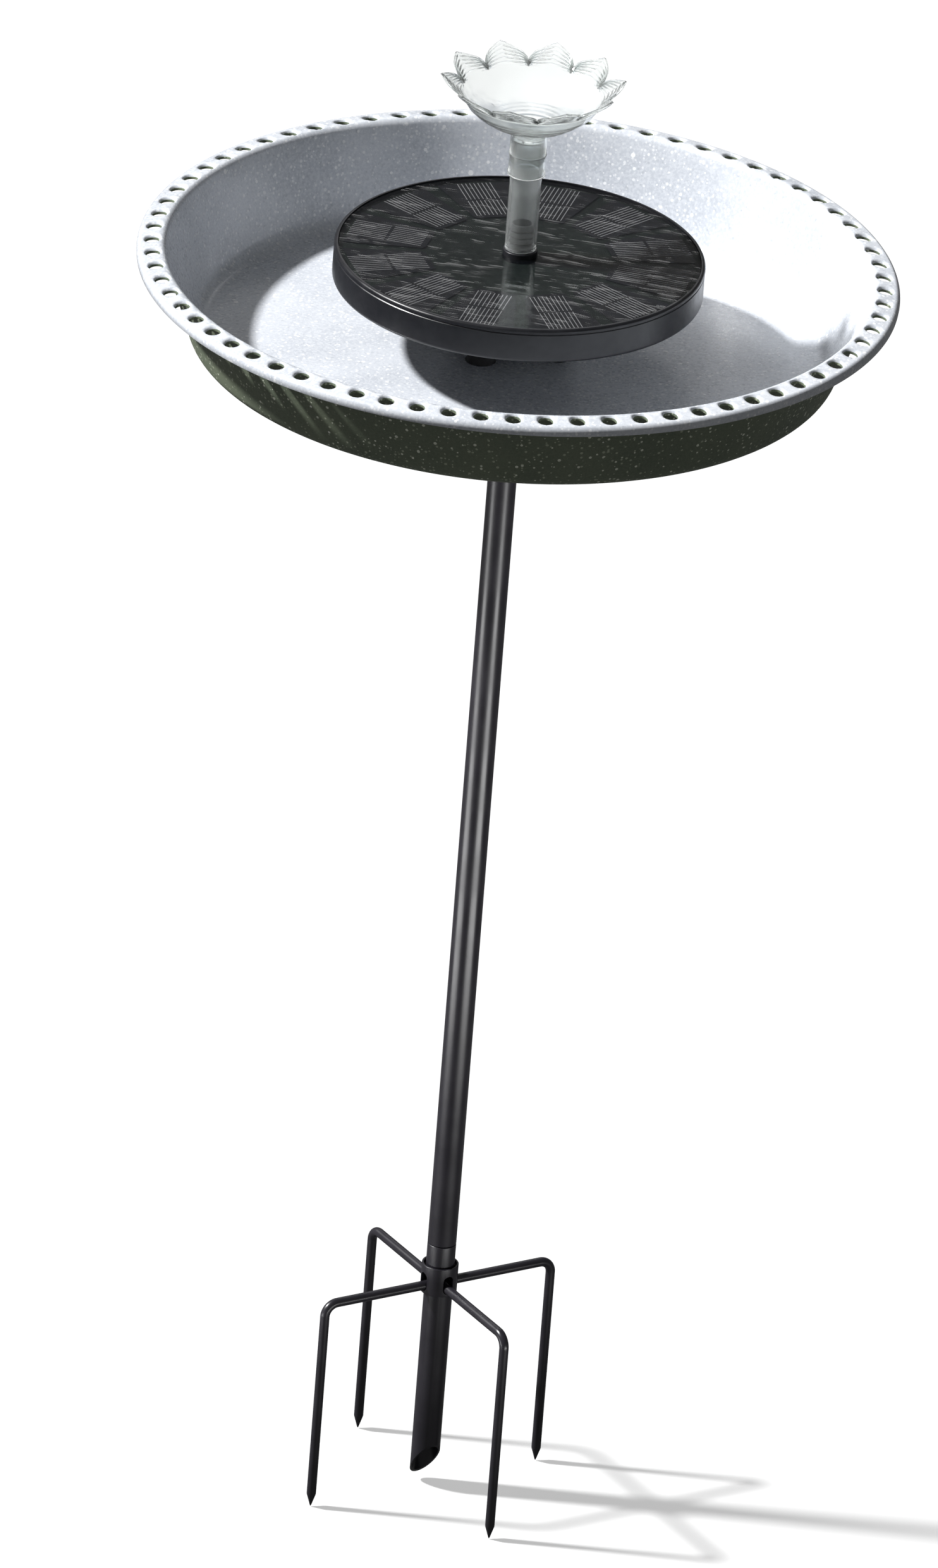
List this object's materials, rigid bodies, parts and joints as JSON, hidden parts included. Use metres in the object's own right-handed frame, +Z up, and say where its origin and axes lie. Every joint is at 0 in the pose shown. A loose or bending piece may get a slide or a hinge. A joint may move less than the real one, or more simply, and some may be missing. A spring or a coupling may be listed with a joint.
{
  "type": "bird bath on fork stake",
  "caption": "Round speckled bird bath bowl with a floating solar fountain and clear lotus nozzle, on a slim black pole with a fork-footed ground stake.",
  "frame": {"origin": "on the pole's axis, level with the tips of the four prongs", "axes": "+Z up along the pole; the prongs stand on the diagonals between X and Y; -Y is the front"},
  "size_m": [0.37, 0.37, 0.7623],
  "materials": {
    "black_paint": "satin black powder coat",
    "zinc_steel": "zinc plated",
    "speckled_enamel": "glossy enamel, grey-white with white speckles inside and dark olive green with cream speckles outside",
    "black_rubber": "matte",
    "black_plastic": "moulded, satin",
    "grey_foam": "closed-cell foam and open sponge",
    "circuit_board": "solder mask",
    "solar_cell": "dark silicon under resin with silver print",
    "panel_glazing": "clear glossy resin",
    "clear_plastic": "clear moulded plastic",
    "copper_winding": "enamelled copper wire",
    "ceramic": "polished ceramic"
  },
  "bodies": {
    "stake": {"stake_tube": "black_paint", "prong_collar": "black_paint", "stake_top_nut": "zinc_steel"},
    "prong_front_left": {"prong_front_left": "black_paint"},
    "prong_front_right": {"prong_front_right": "black_paint"},
    "prong_back_left": {"prong_back_left": "black_paint"},
    "prong_back_right": {"prong_back_right": "black_paint"},
    "pole": {"pole_tube": "black_paint", "pole_stud": "zinc_steel", "pole_bottom_nut": "zinc_steel", "pole_top_nut": "zinc_steel"},
    "bowl": {"bowl_flange": "black_paint", "flange_gasket": "black_rubber", "bowl": "speckled_enamel", "seal_washer": "black_rubber", "steel_washer": "zinc_steel", "bowl_bolt": "zinc_steel"},
    "fountain": {"float_tray": "black_plastic", "float_foam": "grey_foam", "solar_board": "circuit_board", "solar_cell_01": "solar_cell", "solar_cell_02": "solar_cell", "solar_cell_03": "solar_cell", "solar_cell_04": "solar_cell", "solar_cell_05": "solar_cell", "solar_cell_06": "solar_cell", "solar_cell_07": "solar_cell", "solar_cell_08": "solar_cell", "solar_cell_09": "solar_cell", "solar_cell_10": "solar_cell", "solar_cell_11": "solar_cell", "solar_cell_12": "solar_cell", "panel_cover": "panel_glazing", "outlet_socket": "black_plastic", "panel_lead": "black_rubber", "pump_housing": "black_plastic", "pump_stator": "copper_winding", "driver_board": "circuit_board", "sponge_filter": "grey_foam", "impeller_shaft": "ceramic", "float_screw_1": "zinc_steel", "float_screw_2": "zinc_steel", "float_screw_3": "zinc_steel"},
    "impeller": {"impeller": "black_plastic"},
    "intake_cover": {"intake_cover": "black_plastic", "suction_cup_1": "black_rubber", "suction_cup_2": "black_rubber", "suction_cup_3": "black_rubber"},
    "riser": {"riser_tube": "clear_plastic"},
    "nozzle": {"lotus_nozzle": "clear_plastic", "nozzle_jet_disc": "clear_plastic"}
  },
  "joints": [
    {"name": "prong_front_left_pull", "type": "slide", "parent": "stake", "child": "prong_front_left", "axis": [-0.7071, -0.7071, 0], "range_m": [0, 0.012]},
    {"name": "prong_front_right_pull", "type": "slide", "parent": "stake", "child": "prong_front_right", "axis": [0.7071, -0.7071, 0], "range_m": [0, 0.012]},
    {"name": "prong_back_left_pull", "type": "slide", "parent": "stake", "child": "prong_back_left", "axis": [-0.7071, 0.7071, 0], "range_m": [0, 0.012]},
    {"name": "prong_back_right_pull", "type": "slide", "parent": "stake", "child": "prong_back_right", "axis": [0.7071, 0.7071, 0], "range_m": [0, 0.012]},
    {"name": "pole_turn", "type": "hinge", "parent": "stake", "child": "pole", "pos_m": [0, 0, 0.133], "axis": [0, 0, 1], "continuous": true},
    {"name": "bowl_turn", "type": "hinge", "parent": "pole", "child": "bowl", "pos_m": [0, 0, 0.6075], "axis": [0, 0, 1], "continuous": true},
    {"name": "fountain_lift", "type": "slide", "parent": "bowl", "child": "fountain", "axis": [0, 0, 1], "range_m": [0, 0.12]},
    {"name": "riser_pull", "type": "slide", "parent": "fountain", "child": "riser", "axis": [0, 0, 1], "range_m": [0, 0.02]},
    {"name": "nozzle_pull", "type": "slide", "parent": "riser", "child": "nozzle", "axis": [0, 0, 1], "range_m": [0, 0.025]},
    {"name": "impeller_spin", "type": "hinge", "parent": "fountain", "child": "impeller", "pos_m": [0, 0, 0.638], "axis": [0, 0, 1], "continuous": true},
    {"name": "intake_cover_turn", "type": "hinge", "parent": "fountain", "child": "intake_cover", "pos_m": [0, 0, 0.628], "axis": [0, 0, 1], "range_deg": [0, 20]}
  ]
}
